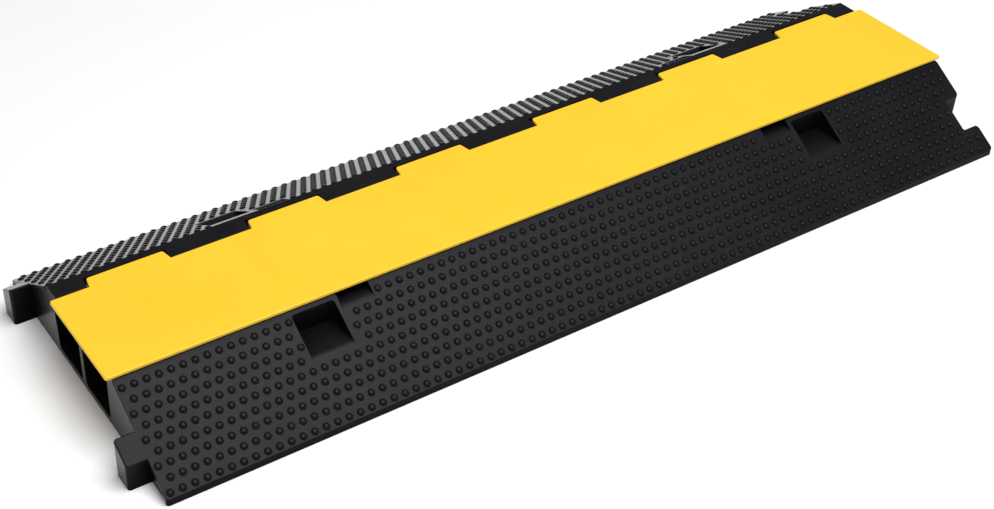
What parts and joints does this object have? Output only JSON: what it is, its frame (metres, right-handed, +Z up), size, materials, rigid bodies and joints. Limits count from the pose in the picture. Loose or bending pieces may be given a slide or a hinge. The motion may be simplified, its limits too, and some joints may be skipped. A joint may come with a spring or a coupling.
{
  "type": "cable protector ramp",
  "caption": "Two-channel rubber cable ramp with studded slopes, a hinged yellow lid along the top, and tabs and sockets that join ramps end to end.",
  "frame": {"origin": "middle of the overall length and width, on the ground under the ramp", "axes": "X along the cables towards the socket end, +Y towards the hinged side, +Z up"},
  "size_m": [1.015, 0.345, 0.072],
  "materials": {
    "rubber": "semi-matt moulded black rubber",
    "lid_plastic": "satin yellow moulded plastic",
    "rod_steel": "oiled dark steel",
    "plug_plastic": "black plastic"
  },
  "bodies": {
    "base_body": {"base": "rubber", "hinge_rod": "rod_steel", "rod_plug_left": "plug_plastic", "rod_plug_right": "plug_plastic"},
    "lid_body": {"lid": "lid_plastic"}
  },
  "joints": [
    {"name": "lid_hinge", "type": "hinge", "parent": "base_body", "child": "lid_body", "pos_m": [0.0075, 0.0544, 0.0655], "axis": [-1, 0, 0], "range_deg": [0, 105]}
  ]
}
